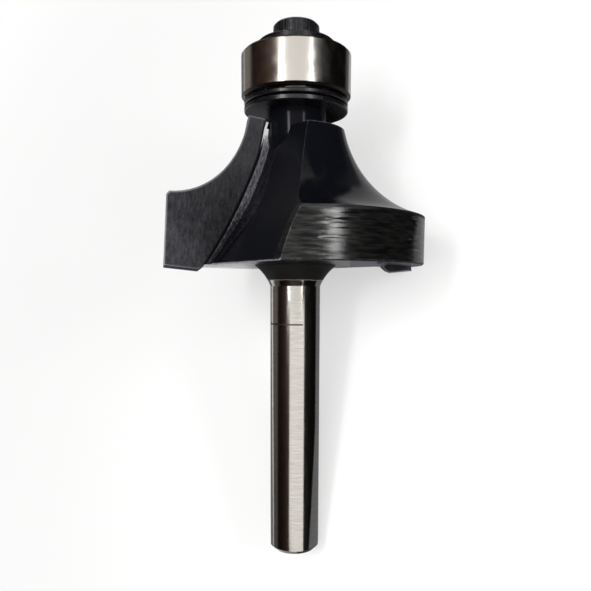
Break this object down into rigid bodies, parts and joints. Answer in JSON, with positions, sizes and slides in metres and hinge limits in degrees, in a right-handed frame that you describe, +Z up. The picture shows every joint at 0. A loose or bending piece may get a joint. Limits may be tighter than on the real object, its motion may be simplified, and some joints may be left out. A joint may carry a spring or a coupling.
{
  "type": "router bit",
  "caption": "Two-flute carbide-tipped round-over router bit with a round shank, a ball-bearing guide, washers and a cap screw on its end.",
  "frame": {"origin": "on the surface that the bit lies on, below the middle of its bounding box", "axes": "+X along the bit's length towards its bearing, +Z up from the surface that it lies on; the bit's own axis leans up towards the bearing in the XZ plane"},
  "size_m": [0.0612, 0.0302, 0.0284],
  "materials": {
    "body_steel": "glossy near-black coating on turned and milled steel; the shank ground bright",
    "carbide": "ground cemented carbide, matte dark grey",
    "bearing_steel": "ground and polished bearing steel",
    "cover_steel": "pressed sheet steel",
    "black_steel": "black oxide on turned steel"
  },
  "bodies": {
    "cutter": {"cutter_body": "body_steel", "carbide_insert_right": "carbide", "carbide_insert_left": "carbide", "spacer_washer": "black_steel", "dust_shield": "black_steel", "bearing_inner_ring": "bearing_steel", "clamp_washer": "black_steel", "cap_screw": "black_steel"},
    "bearing_race": {"bearing_outer_ring": "bearing_steel", "bearing_cover_lower": "cover_steel", "bearing_cover_upper": "cover_steel", "snap_ring_lower": "cover_steel", "snap_ring_upper": "cover_steel"},
    "cage": {"cage_half_lower": "cover_steel", "cage_half_upper": "cover_steel"},
    "ball_1": {"ball_1": "bearing_steel"},
    "ball_2": {"ball_2": "bearing_steel"},
    "ball_3": {"ball_3": "bearing_steel"},
    "ball_4": {"ball_4": "bearing_steel"},
    "ball_5": {"ball_5": "bearing_steel"},
    "ball_6": {"ball_6": "bearing_steel"},
    "ball_7": {"ball_7": "bearing_steel"}
  },
  "joints": [
    {"name": "bearing_spin", "type": "hinge", "parent": "cutter", "child": "bearing_race", "pos_m": [0.02435, 0, 0.01896], "axis": [0.958, 0, 0.2868], "continuous": true},
    {"name": "cage_orbit", "type": "hinge", "parent": "cutter", "child": "cage", "pos_m": [0.02435, 0, 0.01896], "axis": [0.958, 0, 0.2868], "continuous": true},
    {"name": "ball_1_spin", "type": "hinge", "parent": "cage", "child": "ball_1", "pos_m": [0.02504, -0.00366, 0.01668], "axis": [0.958, 0, 0.2868], "continuous": true},
    {"name": "ball_2_spin", "type": "hinge", "parent": "cage", "child": "ball_2", "pos_m": [0.0256, -0.00042, 0.0148], "axis": [0.958, 0, 0.2868], "continuous": true},
    {"name": "ball_3_spin", "type": "hinge", "parent": "cage", "child": "ball_3", "pos_m": [0.02522, 0.00314, 0.01605], "axis": [0.958, 0, 0.2868], "continuous": true},
    {"name": "ball_4_spin", "type": "hinge", "parent": "cage", "child": "ball_4", "pos_m": [0.02419, 0.00433, 0.0195], "axis": [0.958, 0, 0.2868], "continuous": true},
    {"name": "ball_5_spin", "type": "hinge", "parent": "cage", "child": "ball_5", "pos_m": [0.02328, 0.00226, 0.02254], "axis": [0.958, 0, 0.2868], "continuous": true},
    {"name": "ball_6_spin", "type": "hinge", "parent": "cage", "child": "ball_6", "pos_m": [0.02318, -0.00151, 0.02289], "axis": [0.958, 0, 0.2868], "continuous": true},
    {"name": "ball_7_spin", "type": "hinge", "parent": "cage", "child": "ball_7", "pos_m": [0.02396, -0.00414, 0.02028], "axis": [0.958, 0, 0.2868], "continuous": true}
  ],
  "couplings": [
    {"joint": "cage_orbit", "follows": "bearing_spin", "ratio": 0.63635},
    {"joint": "ball_1_spin", "follows": "bearing_spin", "ratio": 1.6971},
    {"joint": "ball_2_spin", "follows": "bearing_spin", "ratio": 1.6971},
    {"joint": "ball_3_spin", "follows": "bearing_spin", "ratio": 1.6971},
    {"joint": "ball_4_spin", "follows": "bearing_spin", "ratio": 1.6971},
    {"joint": "ball_5_spin", "follows": "bearing_spin", "ratio": 1.6971},
    {"joint": "ball_6_spin", "follows": "bearing_spin", "ratio": 1.6971},
    {"joint": "ball_7_spin", "follows": "bearing_spin", "ratio": 1.6971}
  ]
}
